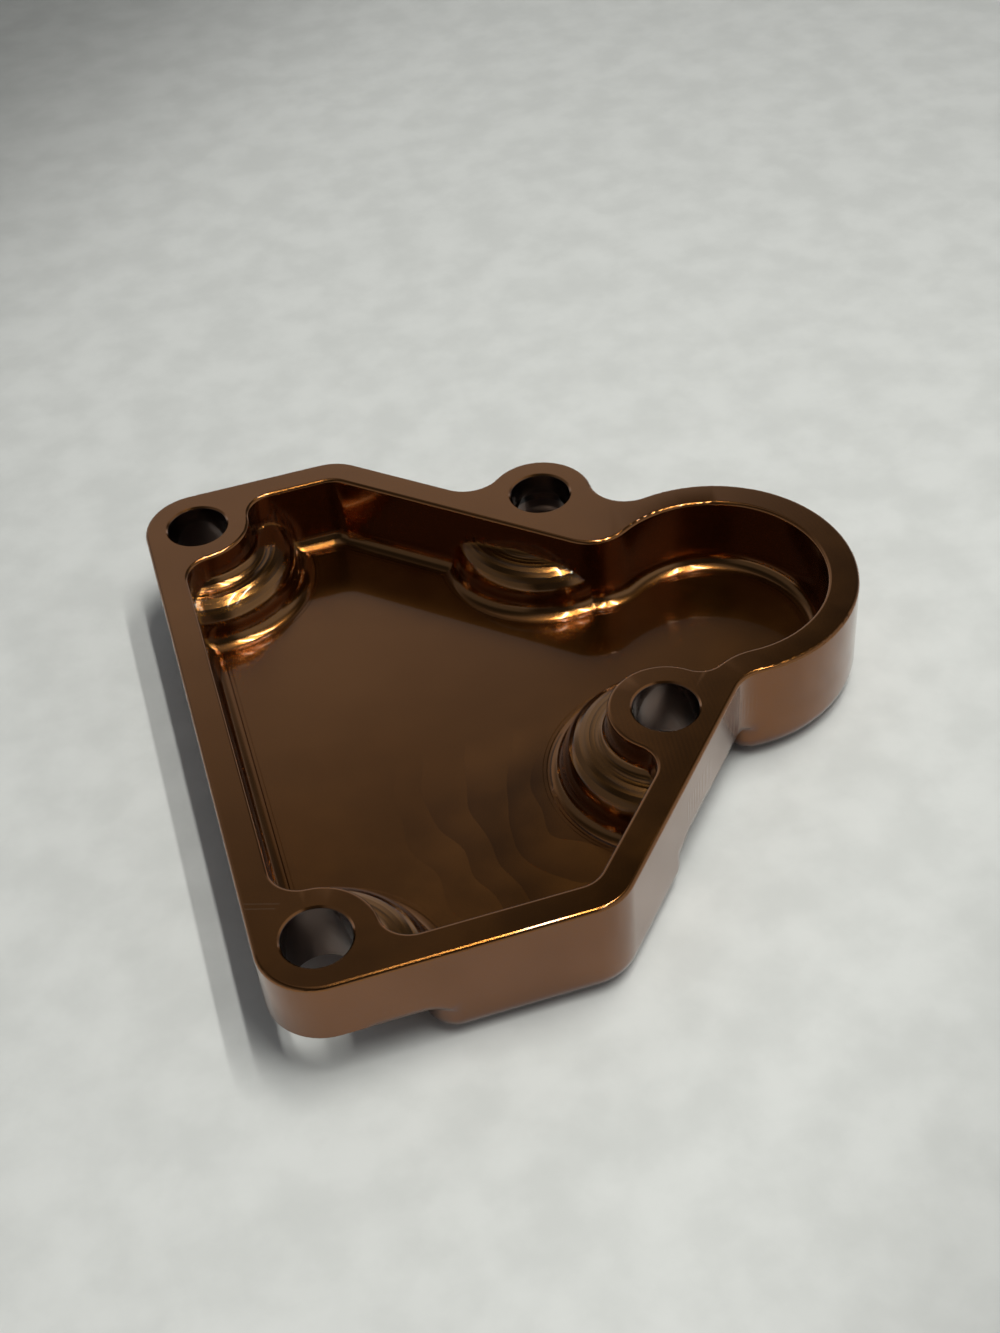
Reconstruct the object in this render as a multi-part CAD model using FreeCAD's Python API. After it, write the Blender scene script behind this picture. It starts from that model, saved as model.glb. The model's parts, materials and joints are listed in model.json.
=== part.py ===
import FreeCAD, Part
import math
import os

V = FreeCAD.Vector

# A machined aluminium cover with four bolt holes. Millimetres.
# It is drawn with its sealing rim facing +Z at Z = 0 and the corner bolt hole at the
# origin, +Y along the long straight side. The finished cover is moved so that it rests
# on Z = 0, with the middle of its length and width at the origin.

# bolt holes, as (X, Y) from the corner hole; down the part each is a drop from the one before
HOLE_CORNER = (0, 0)
HOLE_LONG = (0, 59.7)
HOLE_LUG = (36.7, HOLE_LONG[1] - 8.55)
HOLE_R = 3.25           # clearance for an M6 bolt
HOLE_BREAK = 0.2        # chamfer at both ends of a hole

# heights
FLANGE = 7.0            # metal under the rim that the bolts clamp
TOTAL = 12.2
POCKET = 8.5            # depth of the pocket

# outside
BOSS_R = 5.7            # wall round a bolt hole
ROUND_C = (49.3, HOLE_LUG[1] - 19.45)   # centre of the big round end
ROUND_R = 14.85
HOLE_LOW = (38.05, ROUND_C[1] - 16.1)
HOLES = (HOLE_CORNER, HOLE_LONG, HOLE_LUG, HOLE_LOW)
LOW_ANGLE = 47.9        # direction of the lower slanted side
HIGH_ANGLE = 137.0      # direction of the upper slanted side
HIGH_SET = 2.9          # that side lies this far inside the lug hole
LOW_SET = 5.5           # the lower one lies this far outside the low hole
CORNER_R = 5.4          # corners between straight sides
NECK_R = 4.0            # hollow curves between the rounds

# underside: room for the bolt heads
HEAD_R = 8.3
HEAD_CORNER_R = 3.0     # where the room runs out through a side
HEAD_FILLET_R = 1.6     # hollow edge at the top of the room
FOOT_R = 2.5            # lower outer edge

# pocket
WALL = 3.2
POCKET_CORNER_R = 3.0
LOW_BOSS_R = 2.5        # hollow between the low boss and the wall of the neck
SHOULDER_R = 5.0        # where the slanted wall opens into the round end
FLOOR_R = 1.6           # fillet between wall and floor
STEP_R = 10.2           # step left round each bolt-head room
LEDGE = FLANGE - WALL   # depth of the ledge round a boss
LEDGE_R = 1.5           # fillet between boss and ledge
STEP_EDGE_R = 3.0       # rounded edge of the step
RIM_R = 0.4             # all edges of the rim

# how the part is drawn
STEP_START = 135        # direction where the turned step begins, away from the sides
AIR = 200               # wider than the part


def unit(angle):
    return V(math.cos(math.radians(angle)), math.sin(math.radians(angle)), 0)


def left_of(way):
    return V(-way.y, way.x, 0)


class Line:
    """An endless line with a direction of travel."""

    def __init__(self, point, angle):
        self.point = V(*point, 0) if isinstance(point, tuple) else point
        self.angle = angle
        self.way = unit(angle)

    def inset(self, step):
        return Line(self.point + left_of(self.way) * step, self.angle)

    def nearest(self, point):
        return self.point + self.way * (point - self.point).dot(self.way)

    def piece(self, start, end):
        return Part.makeLine(start, end)


class Ring:
    """A circle with a direction of travel: turn is 1 for anticlockwise, -1 for clockwise."""

    def __init__(self, centre, radius, turn=1):
        self.centre = V(*centre, 0) if isinstance(centre, tuple) else centre
        self.radius = radius
        self.turn = turn

    def inset(self, step):
        return Ring(self.centre, self.radius - self.turn * step, self.turn)

    def nearest(self, point):
        way = point - self.centre
        return self.centre + way * (self.radius / way.Length)

    def piece(self, start, end):
        first = math.degrees(math.atan2(start.y - self.centre.y, start.x - self.centre.x))
        last = math.degrees(math.atan2(end.y - self.centre.y, end.x - self.centre.x))
        sweep = (last - first) * self.turn % 360
        middle = self.centre + unit(first + self.turn * sweep / 2) * self.radius
        return Part.Arc(start, middle, end).toShape()


def crossing(one, two, side):
    """Where two lines or rings cross. Of two crossings, side takes the one to the left (1)
    or right (-1) of the way between centres, or ahead (1) or behind (-1) along a line."""
    if isinstance(one, Line) and isinstance(two, Line):
        across = left_of(two.way)
        return one.point + one.way * ((two.point - one.point).dot(across) / one.way.dot(across))
    if isinstance(one, Ring) and isinstance(two, Ring):
        gap = two.centre - one.centre
        span = gap.Length
        along = (span ** 2 + one.radius ** 2 - two.radius ** 2) / (2 * span)
        half = math.sqrt(max(0, one.radius ** 2 - along ** 2))
        return one.centre + gap * (along / span) + left_of(gap) * (side * half / span)
    line, ring = (one, two) if isinstance(one, Line) else (two, one)
    foot = line.nearest(ring.centre)
    half = math.sqrt(max(0, ring.radius ** 2 - (foot - ring.centre).Length ** 2))
    return foot + line.way * (side * half)


def outline(path):
    """A closed outline. Each entry is (line or ring, blend radius into the next, side); a
    radius above 0 turns left, one below 0 turns right, and 0 is a plain joint."""
    joints = []
    for index, (item, blend, side) in enumerate(path):
        after = path[(index + 1) % len(path)][0]
        centre = crossing(item.inset(blend), after.inset(blend), side)
        turn = 1 if blend > 0 else -1
        joints.append((item.nearest(centre), Ring(centre, abs(blend), turn), after.nearest(centre)))
    edges = []
    for index, (start, blend, end) in enumerate(joints):
        if blend.radius:
            edges.append(blend.piece(start, end))
        after = joints[(index + 1) % len(joints)][0]
        if (after - end).Length > 1e-6:
            edges.append(path[(index + 1) % len(path)][0].piece(end, after))
    return Part.Wire(edges)


def block(wire, top, bottom):
    shape = Part.Face(wire).extrude(V(0, 0, top - bottom))
    shape.translate(V(0, 0, bottom))
    return shape


def edges_at(shape, level):
    found = []
    for edge in shape.Edges:
        box = edge.BoundBox
        if abs(box.ZMin - level) < 1e-4 and abs(box.ZMax - level) < 1e-4:
            found.append(edge)
    return found


def revolve(wire, start):
    shape = Part.Face(wire).revolve(V(0, 0, 0), V(0, 0, 1), 360)
    shape.rotate(V(0, 0, 0), V(0, 0, 1), start)
    return shape


def moved(shape, place):
    copy = shape.copy()
    copy.translate(V(*place, 0))
    return copy


# the straight sides and rounds of the outside, travelled anticlockwise
front = Line((0, -BOSS_R), 0)
low = Line(V(*HOLE_LOW, 0) - left_of(unit(LOW_ANGLE)) * LOW_SET, LOW_ANGLE)
end = Ring(ROUND_C, ROUND_R)
lug = Ring(HOLE_LUG, BOSS_R)
high = Line(V(*HOLE_LUG, 0) + left_of(unit(HIGH_ANGLE)) * HIGH_SET, HIGH_ANGLE)
back = Line((0, HOLE_LONG[1] + BOSS_R), 180)
side = Line((-BOSS_R, 0), 270)


def neck(before, after, where):
    """The hollow curve between two parts of the outside, as a ring of its own."""
    return Ring(crossing(before.inset(-NECK_R), after.inset(-NECK_R), where), NECK_R, -1)


low_neck = neck(low, end, -1)
lug_neck = neck(end, lug, -1)


def flange_outline():
    return outline([
        (front, CORNER_R, 0),
        (low, -NECK_R, -1),
        (end, -NECK_R, -1),
        (lug, -NECK_R, 1),
        (high, CORNER_R, 0),
        (back, BOSS_R, 0),
        (side, BOSS_R, 0),
    ])


def body_outline():
    """The outside below the flange: room is cut away round each bolt hole."""
    corner, long, lug_room, low_room = [Ring(place, HEAD_R, -1) for place in HOLES]
    return outline([
        (front, CORNER_R, 0),
        (low, HEAD_CORNER_R, -1),
        (low_room, HEAD_CORNER_R, -1),
        (end, 0, 1),
        (lug_neck, HEAD_CORNER_R, 1),
        (lug_room, HEAD_CORNER_R, 1),
        (high, CORNER_R, 0),
        (back, HEAD_CORNER_R, -1),
        (long, HEAD_CORNER_R, 1),
        (side, HEAD_CORNER_R, -1),
        (corner, HEAD_CORNER_R, 1),
    ])


def wall_outline():
    """The pocket as the walls alone bound it."""
    return outline([
        (front.inset(WALL), POCKET_CORNER_R, 0),
        (low.inset(WALL), 0, -1),
        (low_neck.inset(WALL), 0, 1),
        (end.inset(WALL), -SHOULDER_R, 1),
        (high.inset(WALL), POCKET_CORNER_R, 0),
        (back.inset(WALL), POCKET_CORNER_R, 0),
        (side.inset(WALL), POCKET_CORNER_R, 0),
    ])


def pocket_outline():
    """The pocket at the rim, with the bosses standing into it."""
    corner, long, low_boss = [Ring(HOLES[i], BOSS_R, -1) for i in (0, 1, 3)]
    return outline([
        (front.inset(WALL), POCKET_CORNER_R, 0),
        (low.inset(WALL), POCKET_CORNER_R, -1),
        (low_boss, LOW_BOSS_R, 1),
        (low_neck.inset(WALL), 0, 1),
        (end.inset(WALL), -SHOULDER_R, 1),
        (high.inset(WALL), POCKET_CORNER_R, 0),
        (back.inset(WALL), POCKET_CORNER_R, -1),
        (long, POCKET_CORNER_R, 1),
        (side.inset(WALL), POCKET_CORNER_R, -1),
        (corner, POCKET_CORNER_R, 1),
    ])


def arc(centre, radius, first, last):
    ends = [V(centre[0], 0, centre[1]) + V(math.cos(a), 0, math.sin(a)) * radius
            for a in (math.radians(first), math.radians((first + last) / 2), math.radians(last))]
    return Part.Arc(*ends).toShape()


def boss_and_step():
    """Metal left in the pocket round one bolt hole: boss, ledge and rounded step."""
    ledge_c = (BOSS_R + LEDGE_R, LEDGE_R - LEDGE)
    edge_c = (STEP_R - STEP_EDGE_R, -LEDGE - STEP_EDGE_R)
    floor_c = (STEP_R + FLOOR_R, FLOOR_R - POCKET)
    corners = [V(0, 0, 1), V(BOSS_R, 0, 1)]
    curves = [arc(ledge_c, LEDGE_R, 180, 270), arc(edge_c, STEP_EDGE_R, 90, 0), arc(floor_c, FLOOR_R, 180, 270)]
    edges = [Part.makeLine(*corners)]
    for curve in curves:
        start = edges[-1].Vertexes[-1].Point
        if (curve.Vertexes[0].Point - start).Length > 1e-6:
            edges.append(Part.makeLine(start, curve.Vertexes[0].Point))
        edges.append(curve)
    last = edges[-1].Vertexes[-1].Point
    below = V(last.x, 0, last.z - 1)
    edges.append(Part.makeLine(last, below))
    edges.append(Part.makeLine(below, V(0, 0, below.z)))
    edges.append(Part.makeLine(V(0, 0, below.z), corners[0]))
    return revolve(Part.Wire(edges), STEP_START)


def make_flare():
    """The hollow fillet between the flange and the body, as it stands inside the flange outline."""
    reach = HEAD_FILLET_R * 2
    depth = FLANGE + reach
    air = Part.makeCylinder(AIR, reach, V(0, 0, -depth)).cut(block(body_outline(), 0, -depth - 1))
    inner = [e for e in edges_at(air, -FLANGE) if e.BoundBox.XLength < AIR]
    air = air.makeFillet(HEAD_FILLET_R, inner)
    return block(flange_outline(), -FLANGE, -FLANGE - HEAD_FILLET_R).cut(air)


def make_outside():
    flange = block(flange_outline(), 0, -FLANGE)
    flange = flange.makeFillet(RIM_R, edges_at(flange, 0))
    body = block(body_outline(), HEAD_FILLET_R - FLANGE, -TOTAL)
    body = body.makeFillet(FOOT_R, edges_at(body, -TOTAL))
    return flange.fuse([make_flare(), body])


def make_pocket():
    room = block(wall_outline(), 1, -POCKET)
    room = room.makeFillet(FLOOR_R, edges_at(room, -POCKET))
    room = room.common(block(pocket_outline(), 1, -POCKET - 1))
    step = boss_and_step()
    return room.cut([moved(step, place) for place in HOLES])


def make_hole():
    """One bolt hole with both ends broken, as a cutting shape."""
    wide = HOLE_R + HOLE_BREAK
    bore = Part.makeCylinder(HOLE_R, FLANGE + 2, V(0, 0, -FLANGE - 1))
    upper = Part.makeCone(HOLE_R, wide + 1, HOLE_BREAK + 1, V(0, 0, -HOLE_BREAK))
    lower = Part.makeCone(wide + 1, HOLE_R, HOLE_BREAK + 1, V(0, 0, -FLANGE - 1))
    return bore.fuse([upper, lower])


def is_outer(edge):
    return edge.distToShape(flange_outline())[0] < RIM_R * 1.5


def make_cover():
    cover = make_outside().cut(make_pocket())
    inner_rim = [edge for edge in edges_at(cover, 0) if not is_outer(edge)]
    cover = cover.makeFillet(RIM_R, inner_rim)
    hole = make_hole()
    return cover.cut([moved(hole, place) for place in HOLES])


middle_x = (ROUND_C[0] + ROUND_R - BOSS_R) / 2
middle_y = HOLE_LONG[1] / 2

os.makedirs("parts", exist_ok=True)
cover = make_cover()
cover.translate(V(-middle_x, -middle_y, TOTAL))
cover.Solids[0].exportStep("parts/machined_cover.step")
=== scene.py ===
# %% [markdown]
# # A machined cover, anodised bronze
# This lesson dresses a small cover that was milled from one block of aluminium and then
# anodised in a dark bronze. The solid comes from CAD. Here it gets smooth mirror-like
# surfaces, the marks that the cutters left, and a soft studio to be seen in.

# %% Load the frame
import bpy
import json
import math
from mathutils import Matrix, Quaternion, Vector


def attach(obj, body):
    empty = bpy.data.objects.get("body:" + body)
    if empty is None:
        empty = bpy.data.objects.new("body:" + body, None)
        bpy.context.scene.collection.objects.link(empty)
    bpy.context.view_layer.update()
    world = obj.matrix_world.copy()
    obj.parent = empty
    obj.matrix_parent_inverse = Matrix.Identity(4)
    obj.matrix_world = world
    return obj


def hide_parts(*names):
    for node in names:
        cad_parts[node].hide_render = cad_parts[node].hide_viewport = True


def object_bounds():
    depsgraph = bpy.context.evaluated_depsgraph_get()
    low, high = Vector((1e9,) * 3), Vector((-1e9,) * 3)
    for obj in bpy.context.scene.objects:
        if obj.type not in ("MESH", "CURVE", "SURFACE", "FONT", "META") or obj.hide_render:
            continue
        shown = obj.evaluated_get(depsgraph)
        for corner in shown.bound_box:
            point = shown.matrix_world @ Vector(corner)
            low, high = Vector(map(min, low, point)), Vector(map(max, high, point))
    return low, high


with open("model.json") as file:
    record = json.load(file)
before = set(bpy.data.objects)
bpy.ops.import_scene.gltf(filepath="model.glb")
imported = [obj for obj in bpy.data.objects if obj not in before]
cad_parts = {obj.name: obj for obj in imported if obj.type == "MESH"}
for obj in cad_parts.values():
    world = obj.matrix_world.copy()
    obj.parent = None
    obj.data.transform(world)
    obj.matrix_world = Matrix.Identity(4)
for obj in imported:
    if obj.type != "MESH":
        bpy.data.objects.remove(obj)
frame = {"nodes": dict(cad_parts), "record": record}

cad_box = [list(corner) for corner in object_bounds()]
print("CAD box in metres:", cad_box)

# %% [markdown]
# ## Places on the part
# Everything below is placed from the four bolt holes and a few heights, in metres. The
# record names the holes as mounts, so they are read from there and not typed again.

# %% Read the holes and the heights
MM = 0.001
mounts = {mount["name"]: mount for mount in frame["record"]["mounts"]}
HOLES = {name: Vector(mounts["bolt_hole_" + name]["pos_m"]).xy
         for name in ("corner", "long", "lug", "low")}
HOLE_R = 3.25 * MM
LEDGE_DEPTH = 3.8 * MM
POCKET_DEPTH = 8.5 * MM
TOP = cad_box[1][2]
LEDGE = TOP - LEDGE_DEPTH
FLOOR = TOP - POCKET_DEPTH
for name, place in HOLES.items():
    print("hole", name, [round(value / MM, 2) for value in place])

# %% [markdown]
# ## The body
# The CAD mesh is a set of loose, flat triangles. On a surface that mirrors the room every
# one of them would show. A copy is joined at its corners, shaded smooth up to a sharp
# angle, and its normals are weighted by area, so that each flat stays flat and each small
# fillet carries the whole turn from one face to the next.

# %% Copy and join the mesh
def only(piece):
    bpy.ops.object.select_all(action="DESELECT")
    piece.select_set(True)
    bpy.context.view_layer.objects.active = piece


node = frame["nodes"]["machined_cover"]
cover = bpy.data.objects.new("cover", node.data.copy())
bpy.context.scene.collection.objects.link(cover)
only(cover)
bpy.ops.object.mode_set(mode="EDIT")
bpy.ops.mesh.select_all(action="SELECT")
bpy.ops.mesh.remove_doubles(threshold=0.002 * MM)
bpy.ops.object.mode_set(mode="OBJECT")
if cover.data.has_custom_normals:
    bpy.ops.mesh.customdata_custom_splitnormals_clear()
print("joined:", len(cover.data.vertices), "corners,", len(cover.data.polygons), "triangles")

# %% [markdown]
# ## The line round the floor
# The small ball cutter that makes the hollow edge of the floor runs a hair deeper than the
# flat cutter that clears its middle. That leaves a fine step all round. The floor is made
# one face, and two insets that each rise a little draw the step, as real shape.

# %% Step the floor
FIRST_STEP = (0.13 * MM, 0.03 * MM)
TROUGH = (0.30 * MM, 0)
SECOND_STEP = (0.08 * MM, 0.012 * MM)


def floor_faces(mesh):
    return [face for face in mesh.polygons
            if abs(face.center.z - FLOOR) < 0.01 * MM and face.normal.z > 0.999]


def step_in(width, rise):
    bpy.ops.mesh.inset(thickness=width, depth=rise)


for face in cover.data.polygons:
    face.select = False
for edge in cover.data.edges:
    edge.select = False
for corner in cover.data.vertices:
    corner.select = False
for face in floor_faces(cover.data):
    face.select = True
bpy.ops.object.mode_set(mode="EDIT")
bpy.ops.mesh.select_mode(type="FACE")
bpy.ops.mesh.dissolve_faces()
for width, rise in (FIRST_STEP, TROUGH, SECOND_STEP):
    step_in(width, rise)
bpy.ops.object.mode_set(mode="OBJECT")
steps = [face.index for face in cover.data.polygons
         if 0.9 < face.normal.z < 0.998 and FLOOR - 0.001 * MM < face.center.z < FLOOR + 0.05 * MM
         and len(face.vertices) == 4]
print("faces in the two fine steps:", len(steps))

# %% Smooth the shading
SHARP_FROM = 35

bpy.ops.object.shade_smooth_by_angle(angle=math.radians(SHARP_FROM))
step_edges = {key for index in steps for key in cover.data.polygons[index].edge_keys}
for edge in cover.data.edges:
    if edge.key in step_edges:
        edge.use_edge_sharp = True
weighted = cover.modifiers.new("flats stay flat", "WEIGHTED_NORMAL")
weighted.weight = 90
weighted.keep_sharp = True
bpy.ops.object.modifier_apply(modifier=weighted.name)
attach(cover, "root")
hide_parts("machined_cover")

# %% [markdown]
# ## Helpers for the finish
# A finish is a chain of small sums on the place of a point, so these helpers add one node
# each and hand back its output. Shapes are drawn in metres on Object coordinates.

# %% Node helpers
class Finish:
    def __init__(self, name):
        self.material = bpy.data.materials.new(name)
        self.material.use_nodes = True
        self.nodes = self.material.node_tree.nodes
        self.links = self.material.node_tree.links
        self.shader = self.nodes["Principled BSDF"]
        place = self.nodes.new("ShaderNodeTexCoord")
        self.point = place.outputs["Object"]
        self.normal = place.outputs["Normal"]
        split = self.nodes.new("ShaderNodeSeparateXYZ")
        self.links.new(self.point, split.inputs[0])
        self.x, self.y, self.z = split.outputs
        split = self.nodes.new("ShaderNodeSeparateXYZ")
        self.links.new(self.normal, split.inputs[0])
        _, self.facing_y, self.facing_up = split.outputs

    def feed(self, socket, value):
        if isinstance(value, bpy.types.NodeSocket):
            self.links.new(value, socket)
        else:
            socket.default_value = value

    def sum(self, operation, *values):
        node = self.nodes.new("ShaderNodeMath")
        node.operation = operation
        for socket, value in zip(node.inputs, values):
            self.feed(socket, value)
        return node.outputs[0]

    def ease(self, value, low, high, first=0.0, last=1.0):
        node = self.nodes.new("ShaderNodeMapRange")
        node.interpolation_type = "SMOOTHSTEP"
        for socket, part in zip(node.inputs, (value, low, high, first, last)):
            self.feed(socket, part)
        return node.outputs[0]

    def band(self, value, low, high, soft):
        rise = self.ease(value, low - soft, low + soft)
        fall = self.ease(value, high - soft, high + soft, 1.0, 0.0)
        return self.sum("MULTIPLY", rise, fall)

    def noise(self, scale, detail=2.0, stretch=(1, 1, 1)):
        place = self.nodes.new("ShaderNodeMapping")
        place.inputs["Scale"].default_value = stretch
        self.links.new(self.point, place.inputs[0])
        node = self.nodes.new("ShaderNodeTexNoise")
        node.inputs["Scale"].default_value = scale
        node.inputs["Detail"].default_value = detail
        self.links.new(place.outputs[0], node.inputs["Vector"])
        return node.outputs["Fac"]

    def mix(self, factor, one, two):
        node = self.nodes.new("ShaderNodeMix")
        node.data_type = "RGBA"
        self.feed(node.inputs["Factor"], factor)
        self.feed(node.inputs["A"], one)
        self.feed(node.inputs["B"], two)
        return node.outputs["Result"]

    def away(self, centre):
        across = self.sum("SUBTRACT", self.x, centre[0])
        along = self.sum("SUBTRACT", self.y, centre[1])
        return self.sum("SQRT", self.sum("ADD", self.sum("MULTIPLY", across, across),
                                         self.sum("MULTIPLY", along, along)))

    def bump(self, height, depth, before=None):
        node = self.nodes.new("ShaderNodeBump")
        node.inputs["Distance"].default_value = depth
        self.links.new(height, node.inputs["Height"])
        if before:
            self.links.new(before, node.inputs["Normal"])
        return node.outputs["Normal"]


# %% [markdown]
# ## The anodised finish
# Dyed anodising is a clear, hard oxide skin with the dye in it, on metal. The metal gives
# a coloured mirror, and the skin adds a faint white one that grows at grazing angles, so
# the shader is metal with a thin coat. Colour drifts slightly over the part.

# %% Bronze metal under a clear skin
bronze = Finish("anodised bronze")
bronze.shader.inputs["Metallic"].default_value = 1.0
bronze.shader.inputs["Coat Weight"].default_value = 0.6
bronze.shader.inputs["Coat Roughness"].default_value = 0.05
bronze.shader.inputs["Coat IOR"].default_value = 1.5

# %% [markdown]
# ## Cutter marks
# Each ledge was turned with a ball cutter in rings round its bolt hole, one ring every half
# millimetre. By the lug the rings run into the wall and leave a row of small teeth there.
# The marks are worked out as heights from the distance to a hole and handed to a bump
# node. Their depths are listed below.

# %% Cutter rings on the ledges
STEPOVER = 0.5 * MM
LUG_STEPOVER = 0.67 * MM
TURNED_R = 10.2 * MM
BOSS_R = 5.7 * MM


def cups(distance, stepover):
    turns = bronze.sum("FRACT", bronze.sum("DIVIDE", distance, stepover))
    from_middle = bronze.sum("ABSOLUTE", bronze.sum("SUBTRACT", turns, 0.5))
    return bronze.sum("POWER", from_middle, 2.0)


apart = {name: bronze.away(place) for name, place in HOLES.items()}
nearest = apart["corner"]
for name in ("long", "lug", "low"):
    nearest = bronze.sum("MINIMUM", nearest, apart[name])
turned = bronze.band(nearest, BOSS_R + 0.3 * MM, TURNED_R, 0.2 * MM)
at_ledge = bronze.band(bronze.z, LEDGE - 1.8 * MM, LEDGE + 0.9 * MM, 0.3 * MM)
on_ledge = bronze.sum("MULTIPLY", turned, at_ledge)
rings = bronze.sum("MULTIPLY", cups(nearest, STEPOVER), on_ledge)
by_lug = bronze.ease(apart["lug"], 8.6 * MM, 9.4 * MM, 1.0, 0.0)
low_wall = bronze.sum("MULTIPLY", bronze.ease(bronze.facing_up, 0.1, 0.4, 1.0, 0.0),
                      bronze.band(bronze.z, LEDGE - 0.9 * MM, LEDGE + 0.8 * MM, 0.4 * MM))
inward = bronze.sum("MULTIPLY", by_lug, bronze.ease(bronze.facing_y, 0.0, -0.3))
teeth = bronze.sum("MULTIPLY", cups(apart["lug"], LUG_STEPOVER),
                   bronze.sum("MULTIPLY", inward, low_wall))
print("rings every", STEPOVER / MM, "mm")

# %% Sweeps on the floor and the rim
# The flat cutter swings round the low boss in wide lobes. On the rim a face mill leaves
# long shallow arcs.
SWEEP = 3.4 * MM
WANDER = 9 * MM
FEED = 0.45 * MM
MILL_AT = (-0.095, -0.005)
flat = bronze.ease(bronze.facing_up, 0.97, 0.995)
low_down = bronze.ease(bronze.z, FLOOR + 0.2 * MM, FLOOR + 0.4 * MM, 1.0, 0.0)
on_floor = bronze.sum("MULTIPLY", flat, low_down)
on_rim = bronze.sum("MULTIPLY", flat, bronze.ease(bronze.z, TOP - 0.1 * MM, TOP - 0.05 * MM))
wander = bronze.sum("MULTIPLY", bronze.noise(90, 1), WANDER)
swing = bronze.sum("ADD", apart["low"], wander)
lobes = bronze.sum("FRACT", bronze.sum("DIVIDE", swing, SWEEP))
swept = bronze.sum("MULTIPLY", bronze.ease(apart["low"], 21 * MM, 30 * MM, 1.0, 0.0),
                   bronze.ease(bronze.y, -12 * MM, -4 * MM, 1.0, 0.0))
lobes = bronze.sum("MULTIPLY", lobes, bronze.sum("MULTIPLY", on_floor, swept))
arcs = bronze.sum("SINE", bronze.sum("MULTIPLY", bronze.away(MILL_AT), 2 * math.pi / FEED))
patchy = bronze.ease(bronze.noise(70, 3), 0.45, 0.65)
arcs = bronze.sum("MULTIPLY", arcs, bronze.sum("MULTIPLY", on_rim, patchy))
print("lobes every", SWEEP / MM, "mm, arcs every", FEED / MM, "mm")

# %% Upright lines on the walls
# The side of a cutter leaves faint lines along its axis.
upright = bronze.noise(1500, 2, stretch=(1, 1, 0.03))
wall = bronze.ease(bronze.facing_up, -0.2, 0.2, 1.0, 0.0)
lines = bronze.sum("MULTIPLY", upright, wall)

# %% Scratches
# A few light scratches from handling, as thin strokes between two points.
def stroke(start, end, width):
    start, end = Vector(start) * MM, Vector(end) * MM
    way = (end - start).normalized()
    right = bronze.sum("SUBTRACT", bronze.x, start.x)
    ahead = bronze.sum("SUBTRACT", bronze.y, start.y)
    along = bronze.sum("ADD", bronze.sum("MULTIPLY", right, way.x),
                       bronze.sum("MULTIPLY", ahead, way.y))
    across = bronze.sum("SUBTRACT", bronze.sum("MULTIPLY", right, way.y),
                        bronze.sum("MULTIPLY", ahead, way.x))
    inside = bronze.band(along, 0, (end - start).length, 0.1 * MM)
    return bronze.sum("MULTIPLY", inside, bronze.band(across, -width * MM, width * MM, 0.04 * MM))


STROKES = (((-28.4, -23.6), (-27.6, -24.0), 0.03), ((-27.6, -24.0), (-26.9, -24.1), 0.02),
           ((-36.0, -23.6), (-31.5, -25.2), 0.02), ((-35.5, -24.4), (-32.0, -25.6), 0.02))
marks = None
for start, end, width in STROKES:
    mark = stroke(start, end, width)
    marks = mark if marks is None else bronze.sum("MAXIMUM", marks, mark)
marks = bronze.sum("MULTIPLY", marks, on_rim)
print(len(STROKES), "scratches")

# %% Put the marks together
# The steps meet the walls in a plain line. A bevel node rounds the shading there.
CORNER_R = 0.9 * MM
DEPTHS = {"grain": 0.0006 * MM, "rings": 0.08 * MM, "teeth": 0.8 * MM, "lobes": 0.14 * MM,
          "arcs": 0.0008 * MM, "lines": 0.002 * MM}
rounded = bronze.nodes.new("ShaderNodeBevel")
rounded.samples = 8
rounded.inputs["Radius"].default_value = CORNER_R
sharp = bronze.nodes.new("ShaderNodeNewGeometry").outputs["Normal"]
blend = bronze.nodes.new("ShaderNodeMix")
blend.data_type = "VECTOR"
near_step = bronze.sum("MULTIPLY", bronze.ease(nearest, BOSS_R + 0.2 * MM, BOSS_R + 1.0 * MM),
                       bronze.ease(nearest, TURNED_R + 1.5 * MM, TURNED_R + 3 * MM, 1.0, 0.0))
step_height = bronze.band(bronze.z, FLOOR + 0.3 * MM, TOP - 1.6 * MM, 0.3 * MM)
near_step = bronze.sum("MULTIPLY", near_step, step_height)
bronze.feed(blend.inputs["Factor"], near_step)
bronze.links.new(sharp, blend.inputs[4])
bronze.links.new(rounded.outputs[0], blend.inputs[5])
heights = {"grain": bronze.noise(2500, 2), "rings": rings, "teeth": teeth, "lobes": lobes,
           "arcs": arcs, "lines": lines}
skin = blend.outputs[1]
for name, height in heights.items():
    skin = bronze.bump(height, DEPTHS[name], skin)
bronze.links.new(skin, bronze.shader.inputs["Normal"])
rough = bronze.ease(bronze.noise(160, 4), 0.25, 0.75, 0.15, 0.21)
rough = bronze.sum("ADD", rough, bronze.sum("MULTIPLY", wall, 0.05))
rough = bronze.sum("ADD", rough, bronze.sum("MULTIPLY", on_floor, 0.05))
bronze.feed(bronze.shader.inputs["Roughness"], rough)
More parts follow.
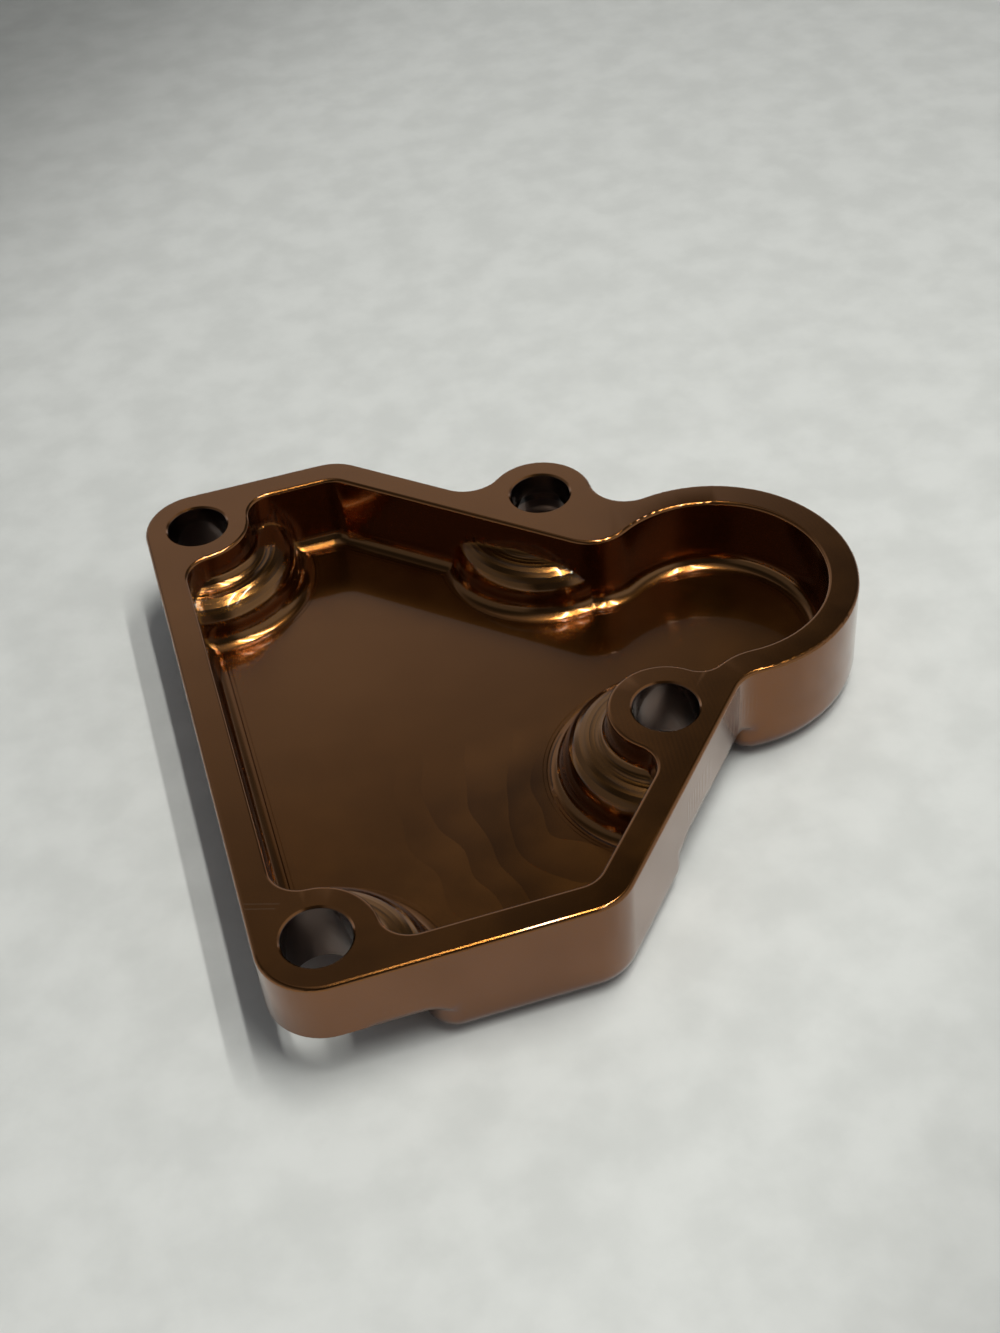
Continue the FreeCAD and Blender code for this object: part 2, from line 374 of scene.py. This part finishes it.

# %% Colour of the finish, with painted shade and a painted highlight
# The rim and the floor drift between two browns. Painted shade darkens the side walls, the
# sweeps and the bolt holes, a painted highlight makes the upward faces inside yellower, and a
# scratch shows some of the bare bright metal.
DEEP = (0.190, 0.070, 0.012, 1)
WARM = (0.230, 0.090, 0.020, 1)
GOLD_HIGHLIGHT_TINT = (0.200, 0.088, 0.022, 1)
SWEEP_SHADE = (0.110, 0.040, 0.008, 1)
SIDE_WALL_SHADE = (0.135, 0.047, 0.017, 1)
HOLE_SHADE = (0.10, 0.062, 0.046, 1)
BARE = (0.75, 0.60, 0.45, 1)
drift = bronze.noise(45, 3)
colour = bronze.mix(bronze.ease(drift, 0.3, 0.7), DEEP, WARM)
# Painted shade: the floor sweeps are darkened in colour as well as bumped.
colour = bronze.mix(bronze.sum("MULTIPLY", lobes, 0.75), colour, SWEEP_SHADE)
# Painted shade: the side walls are darkened in colour, for light that this room lacks.
colour = bronze.mix(wall, colour, SIDE_WALL_SHADE)
# Painted highlight: faces that turn upward between the floor and the rim, ledges and fillets, get a
# yellower bronze for the tube light in their glints.
highlight_tint_area = bronze.sum("MULTIPLY", bronze.ease(bronze.facing_up, 0.1, 0.4),
                    bronze.band(bronze.z, FLOOR + 0.2 * MM, TOP - 1.6 * MM, 0.2 * MM))
colour = bronze.mix(highlight_tint_area, colour, GOLD_HIGHLIGHT_TINT)
# Painted shade: the walls of the bolt holes are darker and greyer inside.
hole_shade_area = bronze.ease(nearest, HOLE_R + 0.01 * MM, HOLE_R + 0.05 * MM, 1.0, 0.0)
colour = bronze.mix(hole_shade_area, colour, HOLE_SHADE)
colour = bronze.mix(bronze.sum("MULTIPLY", marks, 0.35), colour, BARE)
bronze.feed(bronze.shader.inputs["Base Color"], colour)
print("bronze runs from", DEEP[:3], "to", WARM[:3])

cover.data.materials.clear()
cover.data.materials.append(bronze.material)
print("the cover wears", cover.active_material.name)

# %% [markdown]
# ## The table
# The part stands on a sheet of matt white paper. It is stage, not part of the object. Faint
# mottling keeps it from looking like plastic, and painted shade darkens it toward the far left
# and the near right. It lies a hair low, so that it and the underside of the part aren't in one
# plane.

# %% Lay the paper
PAPER_HALF = 0.4
PAPER_LOW = 0.05 * MM
LIGHT_FIBRE = (0.715, 0.725, 0.71, 1)
DARK_FIBRE = (0.645, 0.655, 0.64, 1)
SHADE = (0.02, 0.02, 0.02, 1)
bpy.ops.object.select_all(action="DESELECT")
bpy.ops.mesh.primitive_plane_add(size=2 * PAPER_HALF, location=(0, 0, -PAPER_LOW))
paper = bpy.context.active_object
paper.name = "paper"

sheet = Finish("matt paper")
sheet.shader.inputs["Roughness"].default_value = 0.9
sheet.shader.inputs["Specular IOR Level"].default_value = 0.1
fibre = sheet.ease(sheet.noise(150, 12), 0.3, 0.7)
white = sheet.mix(fibre, DARK_FIBRE, LIGHT_FIBRE)
# Painted shade toward the far left and the near right of the sheet.
far_left = sheet.ease(sheet.sum("SUBTRACT", sheet.y, sheet.x), 0.12, 0.24, 0.0, 0.5)
near_right = sheet.ease(sheet.sum("SUBTRACT", sheet.x, sheet.y), 0.05, 0.12, 0.0, 0.4)
painted_shade = sheet.sum("ADD", far_left, near_right)
sheet.feed(sheet.shader.inputs["Base Color"], sheet.mix(painted_shade, white, SHADE))
sheet.links.new(sheet.bump(sheet.noise(900, 4), 0.02 * MM), sheet.shader.inputs["Normal"])
paper.data.materials.append(sheet.material)
print("paper", 2 * PAPER_HALF, "m wide")

# %% [markdown]
# ## The camera
# The camera stands over the corner hole and looks down on the part from about 44 degrees,
# held a little askew, as by hand. A lens of 50 mm on a full-height frame keeps the
# perspective of a short working distance.

# %% Set the camera
CAMERA_AT = Vector((-33.906, -131.936, 138.792)) * MM
AIM = Vector((-4.524, -3.314, 12.2)) * MM
TILT = math.radians(-5.67)

lens = bpy.data.cameras.new("camera")
lens.sensor_fit = "VERTICAL"
lens.sensor_height = 36
lens.lens = 49.9
lens.clip_start = 0.005
camera = bpy.data.objects.new("camera", lens)
bpy.context.scene.collection.objects.link(camera)
camera.location = CAMERA_AT
upright = (AIM - CAMERA_AT).to_track_quat("-Z", "Y")
camera.rotation_euler = (upright @ Quaternion((0, 0, 1), TILT)).to_euler()
bpy.context.scene.camera = camera
print("camera looks from", round((AIM - CAMERA_AT).length / MM), "mm away")

# %% [markdown]
# ## The light
# Polished metal shows the room and little else, so the room is what gets designed: a far
# wall for the flat faces to mirror, dimmer high up, to the left and to the right; two narrow
# bright tubes overhead, which draw the glints along the curves; a faint ceiling; and
# something dark where the viewer stands. Near the horizon the room stays pale.

# %% World
class Room:
    """The light that comes from each direction of the room, as sums on that direction."""

    def __init__(self, name):
        self.world = bpy.data.worlds.new(name)
        self.world.use_nodes = True
        self.nodes = self.world.node_tree.nodes
        self.links = self.world.node_tree.links
        toward = self.nodes.new("ShaderNodeTexCoord").outputs["Generated"]
        split = self.nodes.new("ShaderNodeSeparateXYZ")
        self.links.new(toward, split.inputs[0])
        self.right, self.away, self.up = split.outputs

    feed = Finish.feed
    sum = Finish.sum
    ease = Finish.ease


room = Room("room")
bpy.context.scene.world = room.world
WALL_LIGHT, HIGH_LIGHT, HORIZON_LIGHT = 0.50, 0.10, 0.25


def dimmed(light, where, share):
    return room.sum("MULTIPLY", light, room.sum("SUBTRACT", 1.0, room.sum("MULTIPLY", where, share)))


far_wall = room.ease(room.up, 0.62, 0.80, WALL_LIGHT, HIGH_LIGHT)
to_the_right = room.sum("ADD", room.right, room.sum("SUBTRACT", room.up, 0.63))
shade = room.sum("MULTIPLY", room.ease(to_the_right, 0.22, 0.38), room.ease(room.away, 0.0, 0.4))
far_wall = dimmed(far_wall, shade, 0.85)
left = room.sum("MULTIPLY", room.ease(room.right, -0.2, -0.5), room.ease(room.up, 0.08, 0.3))
far_wall = dimmed(far_wall, left, 0.6)
far_wall = room.sum("ADD", far_wall, room.ease(room.up, 0.08, 0.35, HORIZON_LIGHT, 0.0))
body_width = room.sum("ABSOLUTE", room.sum("ADD", room.right, 0.15))
viewer = room.sum("MULTIPLY", room.ease(room.away, -0.35, -0.7),
                  room.ease(body_width, 0.25, 0.5, 1.0, 0.0))
viewer = room.sum("MULTIPLY", viewer, room.ease(room.up, 0.05, 0.25))
background = room.nodes["Background"]
background.inputs["Color"].default_value = (0.96, 0.98, 1.0, 1)
room.links.new(dimmed(far_wall, viewer, 0.9), background.inputs["Strength"])
print("the room is dim high up and at both sides, and dark where the viewer stands")

# %% Ceiling lamps
def panel(name, size, place, lean, spread, radiance, colour):
    lamp = bpy.data.lights.new(name, "AREA")
    lamp.shape = "RECTANGLE"
    lamp.size, lamp.size_y = size
    lamp.color = colour
    lamp.energy = radiance * math.pi * size[0] * size[1]
    lamp.spread = math.radians(spread)
    thing = bpy.data.objects.new(name, lamp)
    bpy.context.scene.collection.objects.link(thing)
    thing.location = place
    thing.rotation_euler = (0, math.radians(lean), 0)
    print(name, "gives", round(lamp.energy, 2), "W")


TUBE = (0.016, 0.5)
TUBE_SPREAD = 70
TUBE_LIGHT = 12
CREAM = (1.0, 1.0, 0.95)
panel("left tube", TUBE, (0.08, -0.09, 0.6), 7, TUBE_SPREAD, TUBE_LIGHT, CREAM)
panel("right tube", TUBE, (0.19, -0.09, 0.6), 15, TUBE_SPREAD, TUBE_LIGHT, CREAM)
panel("ceiling", (0.8, 1.1), (0.15, 0.0, 1.0), 0, 180, 0.14, (1.0, 1.0, 1.0))

# %% Colour management
bpy.context.scene.view_settings.view_transform = "Standard"
